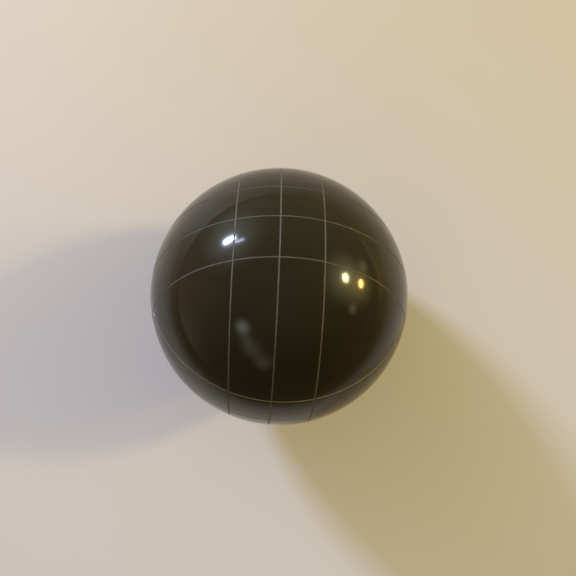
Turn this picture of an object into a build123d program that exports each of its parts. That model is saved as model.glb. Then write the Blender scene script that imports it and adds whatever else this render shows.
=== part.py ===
"""A bocce ball: a dense filled core cast inside a glossy resin cover, with scored lines.

The ball is turned in a lathe about three axes square to each other, and three parallel lines are
scored about each axis. The lines are filled with a dull filler that stops below the polished
surface. The ball lies on the ground, with its centre at the origin and +Z up.
"""

import os
from math import sqrt

from build123d import *

# Driving dimensions, in millimetres.
ball_diameter = 107.0  # regulation size
cover_wall = 12.0  # thickness of the cover outside the core
line_pitch = 15.6  # from one line of a set to the next, along their lathe axis
groove_width = 0.5
groove_depth = 0.4
fill_recess = 0.06  # the filler stops this far below the surface
tool_clearance = 1.0  # the scoring tool starts this far outside the ball

# The middle line of each set, measured from the ball's centre along its lathe axis.
over_middle = -2.6
cross_middle = -1.3
waist_middle = -4.2

# How the ball has come to lie, as turns in degrees about its own X, Y and Z in that order.
roll = -33.4
lean = 4.0
spin = -0.6

ball_radius = ball_diameter / 2
core_radius = ball_radius - cover_wall
groove_floor = ball_radius - groove_depth
fill_radius = ball_radius - fill_recess
tool_sweep = ball_diameter + 2 * tool_clearance

# The ball's own axes, which are the three lathe axes. The spheres are made a quarter turn about
# from them, so that their seams lie clear of the lines that would meet them twice.
ball = Plane.XY.rotated((roll, lean, spin))
blank = ball.rotated((0, 0, 90))

# Over lines run over the ball from front to back, cross lines from side to side, and waist lines
# run round it. Each set has its lathe axis, the direction in which turning starts, and a middle
# line with a line one pitch to each side.
line_sets = [
    ("over_fill", ball.x_dir, ball.y_dir, over_middle, ("left", "middle", "right")),
    ("cross_fill", ball.y_dir, ball.z_dir, cross_middle, ("near", "middle", "far")),
    ("waist_fill", ball.z_dir, ball.x_dir, waist_middle, ("lower", "middle", "upper")),
]
lines = [
    (f"{name}_{side}", lathe_axis, start, middle + step * line_pitch)
    for name, lathe_axis, start, middle, sides in line_sets
    for step, side in zip((-1, 0, 1), sides)
]


def line_slice(lathe_axis, distance):
    """Return the slice of space that a line lies in, square to its lathe axis."""
    with BuildPart() as whole_slice:
        with BuildSketch(Plane(ball.origin + lathe_axis * distance, z_dir=lathe_axis)):
            Rectangle(tool_sweep, tool_sweep)
        extrude(amount=groove_width / 2, both=True)
    return whole_slice.part


def fill_section(lathe_axis, start, distance):
    """Return the filler's section: straight sides, a round floor and a round top."""

    def corner(radius, along):
        return sqrt(radius**2 - along**2), along

    near = distance - groove_width / 2
    far = distance + groove_width / 2
    lathe = Plane(ball.origin, x_dir=start, z_dir=start.cross(lathe_axis))
    with BuildSketch(lathe) as section:
        with BuildLine():
            RadiusArc(corner(fill_radius, near), corner(fill_radius, far), -fill_radius)
            Line(corner(fill_radius, far), corner(groove_floor, far))
            RadiusArc(corner(groove_floor, far), corner(groove_floor, near), groove_floor)
            Line(corner(groove_floor, near), corner(fill_radius, near))
        make_face()
    return section.sketch


os.makedirs("parts", exist_ok=True)

# The core: resin loaded with mineral, cast first as a plain sphere.
with BuildPart(blank) as core:
    Sphere(core_radius)

core.part.label = "core"
export_step(core.part, "parts/core.step")

# What the scoring tool clears: every line's slice, down to the grooves' round floor.
slices = [line_slice(lathe_axis, distance) for name, lathe_axis, start, distance in lines]
with BuildPart() as grooves:
    add(slices)
    with Locations(blank):
        Sphere(groove_floor, mode=Mode.SUBTRACT)

# The cover: dark resin cast round the core with no gap, then turned, polished and scored.
with BuildPart() as cover:
    with Locations(blank):
        Sphere(ball_radius)
        Sphere(core_radius, mode=Mode.SUBTRACT)
    add(grooves.part, mode=Mode.SUBTRACT)

cover.part.label = "cover"
export_step(cover.part, "parts/cover.step")

# The filler: one piece for each line, in the order of scoring. It lies against the floor and both
# walls of its own groove, and stops at the grooves of the lines that were filled before it.
for order, (name, lathe_axis, start, distance) in enumerate(lines):
    with BuildPart() as filler:
        revolve(fill_section(lathe_axis, start, distance), axis=Axis(ball.origin, lathe_axis))
        for earlier in slices[:order]:
            add(earlier, mode=Mode.SUBTRACT)

    filler.part.label = name
    export_step(filler.part, f"parts/{name}.step")
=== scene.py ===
"""A bocce ball of dark cast resin with filled score lines, lying on a pale floor."""

import math

import bmesh
import bpy
import numpy as np
from mathutils import Matrix, Vector


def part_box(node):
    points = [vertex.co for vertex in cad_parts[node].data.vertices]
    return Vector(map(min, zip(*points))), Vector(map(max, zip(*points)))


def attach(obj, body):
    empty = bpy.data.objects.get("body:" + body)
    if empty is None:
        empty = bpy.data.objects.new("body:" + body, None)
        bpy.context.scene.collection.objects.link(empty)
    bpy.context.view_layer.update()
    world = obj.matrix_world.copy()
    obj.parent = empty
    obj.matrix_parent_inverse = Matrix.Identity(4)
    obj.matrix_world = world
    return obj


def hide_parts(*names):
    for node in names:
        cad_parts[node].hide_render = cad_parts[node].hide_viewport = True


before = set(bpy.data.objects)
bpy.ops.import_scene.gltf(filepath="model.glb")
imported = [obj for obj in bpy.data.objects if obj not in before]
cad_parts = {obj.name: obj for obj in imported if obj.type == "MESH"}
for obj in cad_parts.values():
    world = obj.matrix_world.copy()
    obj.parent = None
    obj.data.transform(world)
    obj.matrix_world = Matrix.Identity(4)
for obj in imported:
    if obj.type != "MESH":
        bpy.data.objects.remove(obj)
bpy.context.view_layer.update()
BODY = "root"
MM = 0.001

# ---------------------------------------------------------------- sizes, read from the CAD frame

LINE_SETS = {
    "over_fill": ("left", "middle", "right"),
    "cross_fill": ("near", "middle", "far"),
    "waist_fill": ("lower", "middle", "upper"),
}


def corners(node):
    """The corner points of a CAD node, one row each."""
    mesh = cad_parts[node].data
    points = np.empty(len(mesh.vertices) * 3)
    mesh.vertices.foreach_get("co", points)
    return points.reshape(-1, 3)


def thin_direction(points):
    """The unit direction in which a flat ring of points is thinnest."""
    return np.linalg.svd(points - points.mean(0), full_matrices=False)[2][2]


def lathe_axes():
    """The ball's own X, Y and Z: the axes that its three sets of lines were turned about."""
    axes = []
    for name, sides in LINE_SETS.items():
        rings = [corners(f"{name}_{side}") for side in sides]
        onward = rings[2].mean(0) - rings[0].mean(0)
        normals = [thin_direction(ring) for ring in rings]
        axis = sum(normal * np.sign(normal @ onward) for normal in normals)
        axes.append(axis / np.linalg.norm(axis))
    u, _, v = np.linalg.svd(np.array(axes))
    return u @ v


AXES = lathe_axes()
BALL_TURN = Matrix(AXES.T.tolist()).to_4x4()
BALL_RADIUS = (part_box("cover")[1].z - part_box("cover")[0].z) / 2
CORE_RADIUS = (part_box("core")[1].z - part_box("core")[0].z) / 2

LINES = []
for number, (set_name, sides) in enumerate(LINE_SETS.items()):
    for side in sides:
        along = corners(f"{set_name}_{side}") @ AXES[number]
        LINES.append((f"{set_name}_{side}", number, (along.min() + along.max()) / 2))
MIDDLES = [LINES[3 * number + 1][2] for number in range(3)]
PITCH = (LINES[2][2] - LINES[0][2]) / 2

first_ring = corners(LINES[0][0])
GROOVE_WIDTH = float(np.ptp(first_ring @ AXES[0]))
first_radii = np.linalg.norm(first_ring, axis=1)
GROOVE_FLOOR = float(first_radii.min())
FILL_TOP = float(first_radii.max())

LIP = 0.03 * MM  # how far the polished lip of a groove is rounded over
WALL_LEAN = 0.02 * MM  # how much narrower a groove is at its floor than at its mouth

# ---------------------------------------------------------------- how finely the pieces are made

COVER_DIVISIONS = 7
CAVITY_DIVISIONS = 6
TOP_ROWS = 5  # corners across a filler's top
FILL_SEGMENTS = 360
FILL_SAG = 0.03 * MM  # how far a filler's top sinks along its middle
FILL_WEAR = 0.25 * MM  # and how much further where it is worn
FILL_WEAR_SIZE = 14.0
SHARP_CORNER = math.radians(50)

# ---------------------------------------------------------------- finish and studio values

# Painted light and shade: one filler, made lighter or darker set by set to stand in for how each set
# is lit.
FILLER_PAINTED_LIGHT = {"over_fill": 0.57, "cross_fill": 0.40, "waist_fill": 1.65}
FLOOR_HALF = 1.5
PAINTED_LIGHT_TO = 0.17  # painted light: the floor is painted pale out to this distance from the ball
PAINTED_SHADE_FROM = 0.50  # and painted shade turns it dull and dark from this one on
LAMP_DISTANCE = 2.0
WINDOW_DISTANCE = 1.0
GLOWS = [  # azimuth, elevation and reach in degrees, then colour
    (131.0, 26.0, 32.0, (1.10, 1.15, 1.15, 1)),
    (120.0, 12.0, 40.0, (0.25, 0.27, 0.25, 1)),
    (16.0, 31.0, 26.0, (1.90, 1.75, 0.85, 1)),
    (8.0, 18.0, 20.0, (1.70, 1.25, 0.40, 1)),
    (20.0, 9.0, 7.0, (1.30, 1.15, 0.70, 1)),
    (-9.3, 25.0, 6.5, (1.60, 1.40, 0.70, 1)),
    (-140.0, 51.0, 9.5, (2.20, 2.20, 1.95, 1)),
    (-128.0, 46.0, 9.0, (0.55, 0.53, 0.45, 1)),
    (-118.0, 41.0, 13.0, (0.60, 0.58, 0.48, 1)),
    (-104.0, 33.0, 12.0, (0.60, 0.57, 0.46, 1)),
    (180.0, 12.0, 55.0, (0.22, 0.11, 0.04, 1)),
    (-160.0, -2.0, 30.0, (0.20, 0.18, 0.16, 1)),
]
CAMERA_LENS = 34.06
CAMERA_SIDE = 3.6 * MM
CAMERA_AHEAD = 3.4 * MM
CAMERA_HEIGHT = 232.9 * MM


# ---------------------------------------------------------------- node helpers


def new_tree(name, kind, inputs, outputs):
    """A node group with named sockets: (name, socket type, default) for each."""
    tree = bpy.data.node_groups.new(name, kind)
    for direction, sockets in (("INPUT", inputs), ("OUTPUT", outputs)):
        for label, socket_type, default in sockets:
            socket = tree.interface.new_socket(label, in_out=direction, socket_type=socket_type)
            if default is not None:
                socket.default_value = default
    start = tree.nodes.new("NodeGroupInput")
    end = tree.nodes.new("NodeGroupOutput")
    return tree, start.outputs, end.inputs


def add(tree, kind, inputs=None, **settings):
    """A node with its settings, and its inputs linked from sockets or set to values."""
    node = tree.nodes.new(kind)
    for key, value in settings.items():
        setattr(node, key, value)
    for key, value in (inputs or {}).items():
        if isinstance(value, bpy.types.NodeSocket):
            tree.links.new(value, node.inputs[key])
        else:
            node.inputs[key].default_value = value
    return node


def maths(tree, operation, a, b=0.0, clamp=False):
    """The output of a Math node."""
    node = add(tree, "ShaderNodeMath", {0: a, 1: b}, operation=operation, use_clamp=clamp)
    return node.outputs[0]


def run_nodes(piece, tree, values):
    """Run a Geometry Nodes tree on a piece and leave it as a plain mesh."""
    modifier = piece.modifiers.new(tree.name, "NODES")
    modifier.node_group = tree
    for item in tree.interface.items_tree:
        if item.in_out == "INPUT" and item.name in values:
            modifier[item.identifier] = values[item.name]
    shown = piece.evaluated_get(bpy.context.evaluated_depsgraph_get())
    finished = bpy.data.meshes.new_from_object(shown)
    piece.modifiers.remove(modifier)
    rough = piece.data
    piece.data = finished
    bpy.data.meshes.remove(rough)
    finished.name = piece.name


def new_piece(name, bm):
    """A piece made from a bmesh."""
    mesh = bpy.data.meshes.new(name)
    bm.to_mesh(mesh)
    bm.free()
    piece = bpy.data.objects.new(name, mesh)
    bpy.context.scene.collection.objects.link(piece)
    return piece


def settle(piece, nodes):
    """Turn a finished piece from the ball's own axes to how the ball lies, and hand it over."""
    piece.data.transform(BALL_TURN)
    piece.data.update()
    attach(piece, BODY)
    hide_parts(*nodes)
    return piece


# ---------------------------------------------------------------- shapes, in the ball's own axes


def cut_at(bm, number, distance):
    """Cut edges into a ball's surface where it meets a plane square to one of its axes."""
    normal = Vector((0, 0, 0))
    normal[number] = 1.0
    near = 2.0 * MM
    faces = [f for f in bm.faces if abs(f.calc_center_median()[number] - distance) < near]
    geometry = list({v for f in faces for v in f.verts}) + list({e for f in faces for e in f.edges})
    bmesh.ops.bisect_plane(
        bm, geom=geometry + faces, dist=1e-7, plane_co=normal * distance, plane_no=normal
    )


def onto_sphere(bm, radius):
    """Push every corner out to a sphere."""
    for corner in bm.verts:
        corner.co *= radius / corner.co.length


def scored_ball(divisions):
    """A ball's surface with edges along every groove's lips, walls and floor."""
    bm = bmesh.new()
    bmesh.ops.create_icosphere(bm, subdivisions=divisions, radius=BALL_RADIUS)
    half = GROOVE_WIDTH / 2
    for _, number, distance in LINES:
        for side in (-1, 1):
            for out in (half + LIP, half, half - WALL_LEAN):
                cut_at(bm, number, distance + side * out)
    onto_sphere(bm, BALL_RADIUS)
    return bm


def distance_to_set():
    """A node group: how far a point is, along one lathe axis, from the nearest line of its set."""
    tree, given, out = new_tree(
        "distance_to_set",
        "GeometryNodeTree",
        [
            ("Along", "NodeSocketFloat", 0.0),
            ("Middle", "NodeSocketFloat", 0.0),
            ("Pitch", "NodeSocketFloat", PITCH),
        ],
        [("Distance", "NodeSocketFloat", None)],
    )
    from_middle = maths(tree, "SUBTRACT", given["Along"], given["Middle"])
    steps = maths(tree, "ROUND", maths(tree, "DIVIDE", from_middle, given["Pitch"]))
    nearest = maths(tree, "MAXIMUM", maths(tree, "MINIMUM", steps, 1.0), -1.0)
    line = maths(tree, "MULTIPLY", nearest, given["Pitch"])
    apart = maths(tree, "ABSOLUTE", maths(tree, "SUBTRACT", from_middle, line))
    tree.links.new(apart, out["Distance"])
    return tree


def score_lines():
    """The rule of the cover's shape: a polished ball, sunk along every line to a groove's floor."""
    sizes = [
        ("Geometry", "NodeSocketGeometry", None),
        ("Ball Radius", "NodeSocketFloat", BALL_RADIUS),
        ("Floor Radius", "NodeSocketFloat", GROOVE_FLOOR),
        ("Groove Width", "NodeSocketFloat", GROOVE_WIDTH),
        ("Wall Lean", "NodeSocketFloat", WALL_LEAN),
        ("Lip", "NodeSocketFloat", LIP),
        ("Line Pitch", "NodeSocketFloat", PITCH),
        ("Middles", "NodeSocketVector", MIDDLES),
        ("Material", "NodeSocketMaterial", None),
    ]
    tree, given, out = new_tree(
        "score_lines", "GeometryNodeTree", sizes, [("Geometry", "NodeSocketGeometry", None)]
    )
    position = add(tree, "GeometryNodeInputPosition").outputs[0]
    along = add(tree, "ShaderNodeSeparateXYZ", {0: position}).outputs
    middles = add(tree, "ShaderNodeSeparateXYZ", {0: given["Middles"]}).outputs
    near_set = distance_to_set()
    nearest = None
    for number in range(3):
        group = add(tree, "GeometryNodeGroup", node_tree=near_set)
        tree.links.new(along[number], group.inputs["Along"])
        tree.links.new(middles[number], group.inputs["Middle"])
        tree.links.new(given["Line Pitch"], group.inputs["Pitch"])
        distance = group.outputs["Distance"]
        nearest = distance if nearest is None else maths(tree, "MINIMUM", nearest, distance)

    half = maths(tree, "MULTIPLY", given["Groove Width"], 0.5)
    lip_end = maths(tree, "ADD", half, given["Lip"])
    wall_foot = maths(tree, "SUBTRACT", half, given["Wall Lean"])
    lip_bottom = maths(tree, "SUBTRACT", given["Ball Radius"], given["Lip"])
    over_lip = add(
        tree,
        "ShaderNodeMapRange",
        {0: nearest, 1: half, 2: lip_end, 3: lip_bottom, 4: given["Ball Radius"]},
    ).outputs[0]
    down_wall = add(
        tree,
        "ShaderNodeMapRange",
        {0: nearest, 1: wall_foot, 2: half, 3: given["Floor Radius"], 4: given["Ball Radius"]},
    ).outputs[0]
    radius = maths(tree, "MINIMUM", over_lip, down_wall)
    outward = add(tree, "ShaderNodeVectorMath", {0: position}, operation="NORMALIZE").outputs[0]
    place = add(tree, "ShaderNodeVectorMath", {0: outward, 3: radius}, operation="SCALE").outputs[0]
    sunk = add(tree, "GeometryNodeSetPosition", {"Geometry": given["Geometry"], "Position": place})
    whole = add(tree, "GeometryNodeRealizeInstances", {0: sunk.outputs[0]})
    coated = add(tree, "GeometryNodeSetMaterial", {0: whole.outputs[0]})
    tree.links.new(given["Material"], coated.inputs["Material"])
    tree.links.new(coated.outputs[0], out["Geometry"])
    return tree


def plain_normals(piece, radius, slack):
    """Give a polished surface the exact normals of a sphere, and leave its grooves their own."""
    mesh = piece.data
    mesh.polygons.foreach_set("use_smooth", [True] * len(mesh.polygons))
    normals = []
    for corner, own in zip(mesh.vertices, mesh.vertex_normals):
        on_surface = abs(corner.co.length - radius) < slack
        outward = corner.co.normalized() * math.copysign(1.0, own.vector.dot(corner.co))
        normals.append(outward if on_surface else own.vector)
    mesh.normals_split_custom_set_from_vertices(normals)


def sphere_inside(bm, radius, divisions):
    """Add a sphere whose faces point to its centre, as the wall of a cavity."""
    cavity = bmesh.ops.create_icosphere(bm, subdivisions=divisions, radius=radius)
    faces = list({face for corner in cavity["verts"] for face in corner.link_faces})
    bmesh.ops.reverse_faces(bm, faces=faces)


def make_cover(material):
    """The cover: a polished scored outside, and the cavity that the core fills."""
    piece = new_piece("ball_cover", scored_ball(COVER_DIVISIONS))
    run_nodes(piece, score_lines(), {"Material": material})
    bm = bmesh.new()
    bm.from_mesh(piece.data)
    sphere_inside(bm, CORE_RADIUS, CAVITY_DIVISIONS)
    bmesh.ops.triangulate(bm, faces=[f for f in bm.faces if len(f.verts) > 4])
    bm.to_mesh(piece.data)
    bm.free()
    plain_normals(piece, BALL_RADIUS, LIP / 4)
    return settle(piece, ["cover"])


def filler_ring():
    """The rule of a line's filler: a ring in its groove with a worn, slightly sunken top."""
    sizes = [
        ("Geometry", "NodeSocketGeometry", None),
        ("Distance", "NodeSocketFloat", 0.0),
        ("Width", "NodeSocketFloat", GROOVE_WIDTH),
        ("Wall Lean", "NodeSocketFloat", WALL_LEAN),
        ("Floor Radius", "NodeSocketFloat", GROOVE_FLOOR),
        ("Top Radius", "NodeSocketFloat", FILL_TOP),
        ("Sag", "NodeSocketFloat", 0.0),
        ("Wear", "NodeSocketFloat", 0.0),
        ("Wear Size", "NodeSocketFloat", 1.0),
        ("Segments", "NodeSocketInt", 64),
        ("Seed", "NodeSocketFloat", 0.0),
        ("Material", "NodeSocketMaterial", None),
    ]
    tree, given, out = new_tree(
        "filler_ring", "GeometryNodeTree", sizes, [("Geometry", "NodeSocketGeometry", None)]
    )
    # A strip as long as one turn. Its rows are the section's corners: the floor's near edge, then
    # the top from side to side, the floor's far edge, and the near edge again to close it.
    rows = TOP_ROWS + 3
    strip = add(tree, "GeometryNodeMeshGrid", {"Size X": 1.0, "Size Y": 1.0, "Vertices Y": rows})
    tree.links.new(maths(tree, "ADD", given["Segments"], 1.0), strip.inputs["Vertices X"])
    flat = add(tree, "GeometryNodeInputPosition").outputs[0]
    flat = add(tree, "ShaderNodeSeparateXYZ", {0: flat}).outputs
    turn = maths(tree, "MULTIPLY", flat[0], math.tau)
    row = maths(tree, "MULTIPLY", maths(tree, "ADD", flat[1], 0.5), rows - 1.0)
    after_start = maths(tree, "GREATER_THAN", row, 0.5)
    on_top = maths(tree, "MULTIPLY", after_start, maths(tree, "LESS_THAN", row, TOP_ROWS + 0.5))
    across = maths(tree, "DIVIDE", maths(tree, "SUBTRACT", row, 1.0), TOP_ROWS - 1.0, clamp=True)
    across = maths(tree, "MULTIPLY", across, maths(tree, "LESS_THAN", row, TOP_ROWS + 1.5))
    sideways = maths(tree, "SUBTRACT", across, 0.5)

    # Where the row stands along the lathe axis: the section is narrower at the floor.
    lean = maths(tree, "MULTIPLY", maths(tree, "SUBTRACT", 1.0, on_top), given["Wall Lean"])
    width = maths(tree, "SUBTRACT", given["Width"], maths(tree, "MULTIPLY", lean, 2.0))
    along = maths(tree, "ADD", given["Distance"], maths(tree, "MULTIPLY", sideways, width))

    # How far the top has sunk, most along its middle and unevenly round the turn.
    circle = add(
        tree,
        "ShaderNodeCombineXYZ",
        {0: maths(tree, "COSINE", turn), 1: maths(tree, "SINE", turn), 2: across},
    ).outputs[0]
    spots = add(tree, "ShaderNodeTexNoise", {"Vector": circle, "Detail": 3.0}, noise_dimensions="4D")
    tree.links.new(given["Wear Size"], spots.inputs["Scale"])
    tree.links.new(given["Seed"], spots.inputs["W"])
    worn = maths(tree, "MULTIPLY", maths(tree, "SUBTRACT", spots.outputs[0], 0.4), given["Wear"])
    sunk = maths(tree, "ADD", given["Sag"], maths(tree, "MAXIMUM", worn, 0.0))
    edge = maths(tree, "MULTIPLY", maths(tree, "MULTIPLY", sideways, sideways), 4.0)
    sunk = maths(tree, "MULTIPLY", sunk, maths(tree, "SUBTRACT", 1.0, edge))
    top = maths(tree, "SUBTRACT", given["Top Radius"], sunk)
    radius = add(tree, "ShaderNodeMix", {0: on_top, 2: given["Floor Radius"], 3: top}).outputs[0]

    squares = maths(tree, "MULTIPLY", radius, radius)
    squares = maths(tree, "SUBTRACT", squares, maths(tree, "MULTIPLY", along, along))
    reach = maths(tree, "SQRT", squares)
    place = add(
        tree,
        "ShaderNodeCombineXYZ",
        {
            0: maths(tree, "MULTIPLY", reach, maths(tree, "COSINE", turn)),
            1: maths(tree, "MULTIPLY", reach, maths(tree, "SINE", turn)),
            2: along,
        },
    ).outputs[0]
    ring = add(tree, "GeometryNodeSetPosition", {"Geometry": strip.outputs[0], "Position": place})
    closed = add(tree, "GeometryNodeMergeByDistance", {0: ring.outputs[0], "Distance": MM / 1000})
    whole = add(tree, "GeometryNodeRealizeInstances", {0: closed.outputs[0]})
    coated = add(tree, "GeometryNodeSetMaterial", {0: whole.outputs[0]})
    tree.links.new(given["Material"], coated.inputs["Material"])
    tree.links.new(coated.outputs[0], out["Geometry"])
    return tree


def stop_at(bm, number, distance):
    """Cut a filler away where an earlier line's groove crosses it, and close its ends."""
    half = GROOVE_WIDTH / 2
    for side in (-1, 1):
        cut_at(bm, number, distance + side * half)
    inside = [f for f in bm.faces if abs(f.calc_center_median()[number] - distance) < half]
    bmesh.ops.delete(bm, geom=inside, context="FACES")
    bmesh.ops.holes_fill(bm, edges=[edge for edge in bm.edges if edge.is_boundary], sides=0)


def make_fillers(materials):
    """The filler of every line, each stopped at the lines that were filled before it."""
    tree = filler_ring()
    for order, (name, number, distance) in enumerate(LINES):
        piece = new_piece(f"line_{name}", bmesh.new())
        sizes = {
            "Distance": distance,
            "Sag": FILL_SAG,
            "Wear": FILL_WEAR,
            "Wear Size": FILL_WEAR_SIZE,
            "Segments": FILL_SEGMENTS,
            "Seed": float(order),
            "Material": materials[number],
        }
        run_nodes(piece, tree, sizes)
        for _ in range((number + 1) % 3):
            piece.data.transform(Matrix.Rotation(math.tau / 3, 4, (1, 1, 1)))
        bm = bmesh.new()
        bm.from_mesh(piece.data)
        for _, other, place in LINES[:order]:
            if other != number:
                stop_at(bm, other, place)
        bmesh.ops.recalc_face_normals(bm, faces=bm.faces)
        bm.to_mesh(piece.data)
        bm.free()
        piece.data.polygons.foreach_set("use_smooth", [True] * len(piece.data.polygons))
        piece.data.set_sharp_from_angle(angle=SHARP_CORNER)
        settle(piece, [name])


def make_core(material):
    """The core: a plain cast ball that fills the cover's cavity."""
    bm = bmesh.new()
    bmesh.ops.create_icosphere(bm, subdivisions=CAVITY_DIVISIONS, radius=CORE_RADIUS)
    piece = new_piece("ball_core", bm)
    piece.data.materials.append(material)
    plain_normals(piece, CORE_RADIUS, LIP)
    return settle(piece, ["core"])


# ---------------------------------------------------------------- finishes


def new_material(name):
    """A material with a Principled BSDF, ready for its nodes."""
    material = bpy.data.materials.new(name)
    material.use_nodes = True
    tree = material.node_tree
    tree.nodes.clear()
    shader = tree.nodes.new("ShaderNodeBsdfPrincipled")
    output = tree.nodes.new("ShaderNodeOutputMaterial")
    tree.links.new(shader.outputs[0], output.inputs[0])
    place = tree.nodes.new("ShaderNodeTexCoord").outputs["Object"]
    return material, tree, shader, place


def noise_mask(tree, place, scale, low, high, detail=4.0, stretch=None, turn=None):
    """Cloudy noise over a surface, from 0 where it is under low to 1 where it is over high."""
    if stretch is not None:
        place = add(
            tree, "ShaderNodeMapping", {0: place, 2: turn or (0, 0, 0), 3: stretch}
        ).outputs[0]
    noise = add(tree, "ShaderNodeTexNoise", {"Vector": place, "Scale": scale, "Detail": detail})
    return add(
        tree, "ShaderNodeMapRange", {0: noise.outputs[0], 1: low, 2: high}, clamp=True
    ).outputs[0]


def handling_marks():
    """Wear that a ball picks up: smears, hairline scratches, nicks and dust, as masks."""
    tree, given, out = new_tree(
        "handling_marks",
        "ShaderNodeTree",
        [
            ("Place", "NodeSocketVector", None),
            ("Smear Size", "NodeSocketFloat", 30.0),
            ("Scratch Density", "NodeSocketFloat", 60.0),
            ("Dust Density", "NodeSocketFloat", 260.0),
        ],
        [
            ("Smears", "NodeSocketFloat", None),
            ("Scratches", "NodeSocketFloat", None),
            ("Nicks", "NodeSocketFloat", None),
            ("Dust", "NodeSocketFloat", None),
        ],
    )
    place = given["Place"]
    smears = noise_mask(tree, place, given["Smear Size"], 0.42, 0.72, 6.0)
    wipes = noise_mask(tree, place, given["Smear Size"], 0.45, 0.7, 5.0, (1, 5, 2), (0.4, 0.9, 0.2))
    smears = maths(tree, "MAXIMUM", smears, maths(tree, "MULTIPLY", wipes, 0.7))
    tree.links.new(smears, out["Smears"])

    # Hairlines are the thin edges of long, stretched cells, in three directions.
    scratches = None
    for turn in ((0.3, 0.2, 1.1), (1.2, 0.7, 0.1), (0.5, 1.4, 2.0)):
        lain = add(tree, "ShaderNodeMapping", {0: place, 2: turn, 3: (1.0, 0.07, 0.3)}).outputs[0]
        bent = add(tree, "ShaderNodeTexNoise", {"Vector": lain, "Scale": 40.0, "Detail": 1.0})
        swayed = add(
            tree, "ShaderNodeVectorMath", {0: bent.outputs[1], 3: 0.006}, operation="SCALE"
        ).outputs[0]
        lain = add(tree, "ShaderNodeVectorMath", {0: lain, 1: swayed}, operation="ADD").outputs[0]
        cells = add(
            tree,
            "ShaderNodeTexVoronoi",
            {"Vector": lain, "Scale": given["Scratch Density"]},
            feature="DISTANCE_TO_EDGE",
        )
        hair = add(
            tree, "ShaderNodeMapRange", {0: cells.outputs[0], 1: 0.0, 2: 0.012, 3: 1.0, 4: 0.0}
        ).outputs[0]
        here = noise_mask(tree, lain, 90.0, 0.56, 0.66, 2.0)
        hair = maths(tree, "MULTIPLY", hair, here)
        scratches = hair if scratches is None else maths(tree, "MAXIMUM", scratches, hair)
    tree.links.new(scratches, out["Scratches"])

    for name, share, size in (("Nicks", 0.985, 0.13), ("Dust", 0.95, 0.14)):
        density = given["Dust Density"]
        if name == "Nicks":
            density = maths(tree, "MULTIPLY", density, 0.45)
        cells = add(tree, "ShaderNodeTexVoronoi", {"Vector": place, "Scale": density})
        chosen = add(tree, "ShaderNodeSeparateColor", {0: cells.outputs["Color"]}).outputs[0]
        chosen = maths(tree, "GREATER_THAN", chosen, share)
        spot = add(
            tree,
            "ShaderNodeMapRange",
            {0: cells.outputs["Distance"], 1: size / 2, 2: size, 3: 1.0, 4: 0.0},
        ).outputs[0]
        tree.links.new(maths(tree, "MULTIPLY", spot, chosen), out[name])
    return tree


def mix_colour(tree, factor, first, second):
    """A blend of two colours."""
    node = add(tree, "ShaderNodeMix", {0: factor, 6: first, 7: second}, data_type="RGBA")
    return node.outputs[2]


def cover_resin(marks):
    """Dark olive-brown cast resin, polished, with faint clouding under its surface."""
    material, tree, shader, place = new_material("cover_resin")
    wear = add(tree, "ShaderNodeGroup", {"Place": place}, node_tree=marks).outputs
    clouds = noise_mask(tree, place, 38.0, 0.3, 0.75, 5.0)
    veins = noise_mask(tree, place, 14.0, 0.35, 0.7, 3.0, (1.0, 1.0, 2.2))
    colour = mix_colour(tree, clouds, (0.0092, 0.0078, 0.0024, 1), (0.0150, 0.0122, 0.0042, 1))
    colour = mix_colour(
        tree, maths(tree, "MULTIPLY", veins, 0.6), colour, (0.0142, 0.0100, 0.0030, 1)
    )
    pale = maths(tree, "MAXIMUM", maths(tree, "MULTIPLY", wear["Scratches"], 0.12), wear["Nicks"])
    colour = mix_colour(tree, maths(tree, "MULTIPLY", pale, 0.35), colour, (0.08, 0.07, 0.05, 1))
    colour = mix_colour(
        tree, maths(tree, "MULTIPLY", wear["Dust"], 0.3), colour, (0.16, 0.14, 0.10, 1)
    )
    tree.links.new(colour, shader.inputs["Base Color"])

    # The resin itself is softly burnished, which gives each reflection a haze. Its polish is the
    # coat, which the smears dull here and there.
    rough = maths(tree, "MULTIPLY", wear["Smears"], 0.10)
    rough = maths(tree, "ADD", rough, 0.26)
    rough = maths(tree, "ADD", rough, maths(tree, "MULTIPLY", wear["Dust"], 0.4), clamp=True)
    tree.links.new(rough, shader.inputs["Roughness"])
    dulled = maths(tree, "MULTIPLY", wear["Smears"], 0.16)
    dulled = maths(tree, "ADD", dulled, maths(tree, "MULTIPLY", wear["Scratches"], 0.08))
    dulled = maths(tree, "ADD", dulled, maths(tree, "MULTIPLY", wear["Dust"], 0.5))
    polish = maths(tree, "SUBTRACT", 1.0, dulled, clamp=True)
    tree.links.new(polish, shader.inputs["Coat Weight"])
    shader.inputs["Coat Roughness"].default_value = 0.10
    shader.inputs["Coat IOR"].default_value = 1.45

    ripple = add(tree, "ShaderNodeTexNoise", {"Vector": place, "Scale": 55.0, "Detail": 2.0})
    height = maths(tree, "MULTIPLY", ripple.outputs[0], 0.9)
    height = maths(tree, "SUBTRACT", height, maths(tree, "MULTIPLY", wear["Scratches"], 0.02))
    height = maths(tree, "SUBTRACT", height, maths(tree, "MULTIPLY", wear["Nicks"], 0.3))
    bump = add(tree, "ShaderNodeBump", {"Height": height, "Distance": 0.02 * MM})
    tree.links.new(bump.outputs[0], shader.inputs["Normal"])
    tree.links.new(bump.outputs[0], shader.inputs["Coat Normal"])
    shader.inputs["IOR"].default_value = 1.01
    return material


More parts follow.
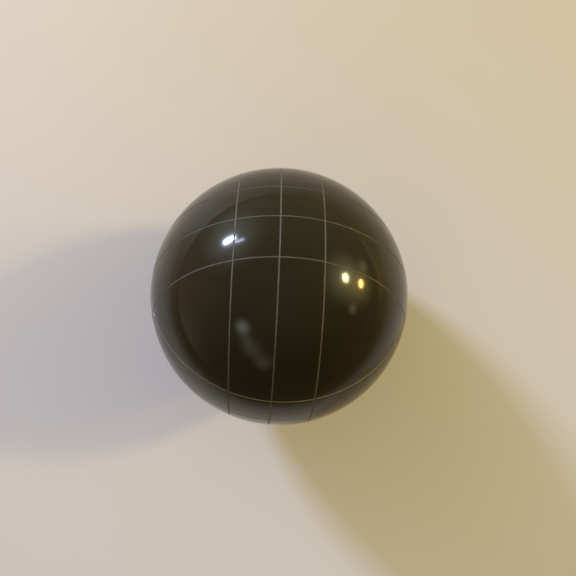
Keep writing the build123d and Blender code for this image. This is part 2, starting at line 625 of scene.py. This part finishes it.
def line_filler(marks, set_name, painted_light_factor):
    """Dull grey-beige filler, gritty, with dirt rubbed into its low places, made lighter or darker
    by set as painted light and shade.
    """
    material, tree, shader, place = new_material(f"line_filler_{set_name}")
    wear = add(tree, "ShaderNodeGroup", {"Place": place}, node_tree=marks).outputs
    dirt = noise_mask(tree, place, 70.0, 0.42, 0.72, 5.0)
    grit = noise_mask(tree, place, 1500.0, 0.3, 0.7, 2.0)
    # Painted light and shade: every tone here, dirt included, is scaled by the set's factor.
    low, high, dirty = [
        tuple(painted_light_factor * part for part in tone) + (1,)
        for tone in ((0.155, 0.142, 0.108), (0.240, 0.224, 0.178), (0.105, 0.092, 0.064))
    ]
    colour = mix_colour(tree, grit, low, high)
    colour = mix_colour(tree, maths(tree, "MULTIPLY", dirt, 0.55), colour, dirty)
    colour = mix_colour(
        tree, maths(tree, "MULTIPLY", wear["Nicks"], 0.8), colour, (0.03, 0.024, 0.013, 1)
    )
    tree.links.new(colour, shader.inputs["Base Color"])
    rough = maths(tree, "ADD", maths(tree, "MULTIPLY", grit, 0.2), 0.55)
    tree.links.new(rough, shader.inputs["Roughness"])
    bump = add(tree, "ShaderNodeBump", {"Height": grit, "Distance": 0.02 * MM})
    tree.links.new(bump.outputs[0], shader.inputs["Normal"])
    shader.inputs["IOR"].default_value = 1.48
    return material


def core_resin(marks):
    """Mineral-filled resin as it leaves the mould: buff grey, with grains and pinholes."""
    material, tree, shader, place = new_material("core_resin")
    wear = add(tree, "ShaderNodeGroup", {"Place": place}, node_tree=marks).outputs
    grains = noise_mask(tree, place, 900.0, 0.35, 0.65, 3.0)
    flow = noise_mask(tree, place, 22.0, 0.35, 0.7, 5.0, (1.0, 1.0, 2.5))
    colour = mix_colour(tree, grains, (0.44, 0.41, 0.34, 1), (0.56, 0.53, 0.46, 1))
    colour = mix_colour(
        tree, maths(tree, "MULTIPLY", flow, 0.5), colour, (0.37, 0.34, 0.27, 1)
    )
    colour = mix_colour(tree, wear["Nicks"], colour, (0.12, 0.10, 0.08, 1))
    tree.links.new(colour, shader.inputs["Base Color"])
    rough = maths(tree, "ADD", maths(tree, "MULTIPLY", flow, 0.15), 0.6)
    tree.links.new(rough, shader.inputs["Roughness"])
    height = maths(tree, "SUBTRACT", grains, maths(tree, "MULTIPLY", wear["Nicks"], 3.0))
    bump = add(tree, "ShaderNodeBump", {"Height": height, "Distance": 0.03 * MM})
    tree.links.new(bump.outputs[0], shader.inputs["Normal"])
    return material


# ---------------------------------------------------------------- studio


def make_floor():
    """A pale floor under the ball, with a painted tint of light across it and painted shade that
    darkens it well away from the ball.
    """
    bm = bmesh.new()
    bmesh.ops.create_grid(bm, x_segments=1, y_segments=1, size=FLOOR_HALF)
    bmesh.ops.translate(bm, verts=bm.verts, vec=(0, 0, -BALL_RADIUS))
    floor = new_piece("floor", bm)
    material, tree, shader, place = new_material("floor_painted_light_and_shade")
    # Painted light: a tint that runs from cool on one side of the floor to warm on the other, as the
    # light falls on it.
    ahead = add(tree, "ShaderNodeSeparateXYZ", {0: place}).outputs[1]
    tone = add(tree, "ShaderNodeMapRange", {0: ahead, 1: -0.14, 2: 0.14}).outputs[0]
    colour = mix_colour(tree, tone, (0.72, 0.71, 0.77, 1), (0.68, 0.61, 0.52, 1))
    # Painted shade: away from the ball the floor is darkened, darkest far out towards -Y.
    away = add(tree, "ShaderNodeVectorMath", {0: place}, operation="LENGTH").outputs["Value"]
    far = add(
        tree,
        "ShaderNodeMapRange",
        {0: away, 1: PAINTED_LIGHT_TO, 2: PAINTED_SHADE_FROM},
        interpolation_type="SMOOTHSTEP",
    ).outputs[0]
    painted_shade_slope = add(tree, "ShaderNodeMapRange", {0: ahead, 1: -0.4, 2: 0.5}).outputs[0]
    dull = mix_colour(tree, painted_shade_slope, (0.27, 0.21, 0.14, 1), (0.62, 0.52, 0.37, 1))
    colour = mix_colour(tree, far, colour, dull)
    tree.links.new(colour, shader.inputs["Base Color"])
    shader.inputs["Roughness"].default_value = 0.6
    shader.inputs["Specular IOR Level"].default_value = 0.25
    floor.data.materials.append(material)


def toward(azimuth, elevation):
    """The direction that an azimuth and an elevation give, in degrees."""
    az = math.radians(azimuth)
    el = math.radians(elevation)
    return Vector((math.cos(az) * math.cos(el), math.sin(az) * math.cos(el), math.sin(el)))


def area_light(name, aim, distance, size, power, colour, shape="RECTANGLE"):
    """A soft lamp that faces the ball. Its aim is an azimuth, an elevation and a roll in degrees."""
    azimuth, elevation, roll = aim
    data = bpy.data.lights.new(name, "AREA")
    data.shape = shape
    data.size, data.size_y = size
    data.energy = power
    data.color = colour
    lamp = bpy.data.objects.new(name, data)
    bpy.context.scene.collection.objects.link(lamp)
    away = toward(azimuth, elevation)
    level = toward(azimuth + 90.0, 0.0)
    facing = Matrix((level, away.cross(level), away)).transposed()
    facing = facing @ Matrix.Rotation(math.radians(roll), 3, "Z")
    lamp.matrix_world = Matrix.Translation(away * distance) @ facing.to_4x4()


def make_lights():
    """Two cool window panes to one side and two warm lamps to the other."""
    cool = (0.58, 0.71, 1.0)
    warm = (1.0, 0.90, 0.36)
    amber = (1.0, 0.62, 0.13)
    near = WINDOW_DISTANCE
    away = LAMP_DISTANCE
    area_light("window_near", (131.3, 26.5, -16), near, (0.14, 0.037), 8.0, cool)
    area_light("window_far", (125.0, 33.0, -20), near, (0.12, 0.032), 0.3, cool)
    area_light("lamp_white", (15.9, 31.0, -18), away, (0.20, 0.15), 10.5, warm, "ELLIPSE")
    area_light("lamp_amber", (8.8, 17.2, -14), away, (0.19, 0.13), 6.0, amber, "ELLIPSE")


def make_room():
    """A dim warm room, lighter behind the ball than before it, with a glow round each light."""
    world = bpy.data.worlds.new("room")
    bpy.context.scene.world = world
    world.use_nodes = True
    tree = world.node_tree
    direction = tree.nodes.new("ShaderNodeTexCoord").outputs["Generated"]
    along = add(tree, "ShaderNodeSeparateXYZ", {0: direction}).outputs
    back = add(tree, "ShaderNodeMapRange", {0: along[1], 1: -0.9, 2: 0.9}).outputs[0]
    side = add(tree, "ShaderNodeMapRange", {0: along[0], 1: -0.9, 2: 0.9}).outputs[0]
    ahead = mix_colour(tree, side, (0.15, 0.12, 0.10, 1), (0.17, 0.115, 0.045, 1))
    behind = mix_colour(tree, side, (0.53, 0.43, 0.30, 1), (0.60, 0.49, 0.25, 1))
    room = mix_colour(tree, back, ahead, behind)
    for azimuth, elevation, reach, colour in GLOWS:
        aim = add(
            tree,
            "ShaderNodeVectorMath",
            {0: direction, 1: toward(azimuth, elevation)},
            operation="DOT_PRODUCT",
        ).outputs["Value"]
        glow = add(
            tree, "ShaderNodeMapRange", {0: aim, 1: math.cos(math.radians(reach)), 2: 1.0}
        ).outputs[0]
        glow = maths(tree, "POWER", glow, 3.0)
        blend = {"data_type": "RGBA", "blend_type": "ADD"}
        room = add(tree, "ShaderNodeMix", {0: glow, 6: room, 7: colour}, **blend).outputs[2]
    tree.links.new(room, tree.nodes["Background"].inputs[0])


def make_camera():
    """A camera straight above the ball, a little to one side of it."""
    data = bpy.data.cameras.new("camera")
    data.sensor_width = 36.0
    data.lens = CAMERA_LENS
    data.clip_start = 0.01
    camera = bpy.data.objects.new("camera", data)
    camera.location = (CAMERA_SIDE, CAMERA_AHEAD, CAMERA_HEIGHT)
    bpy.context.scene.collection.objects.link(camera)
    bpy.context.scene.camera = camera


# ---------------------------------------------------------------- the scene

make_camera()
marks = handling_marks()
make_cover(cover_resin(marks))
make_fillers([line_filler(marks, name, FILLER_PAINTED_LIGHT[name]) for name in LINE_SETS])
make_core(core_resin(marks))
make_floor()
make_lights()
make_room()
bpy.context.scene.view_settings.view_transform = "Standard"
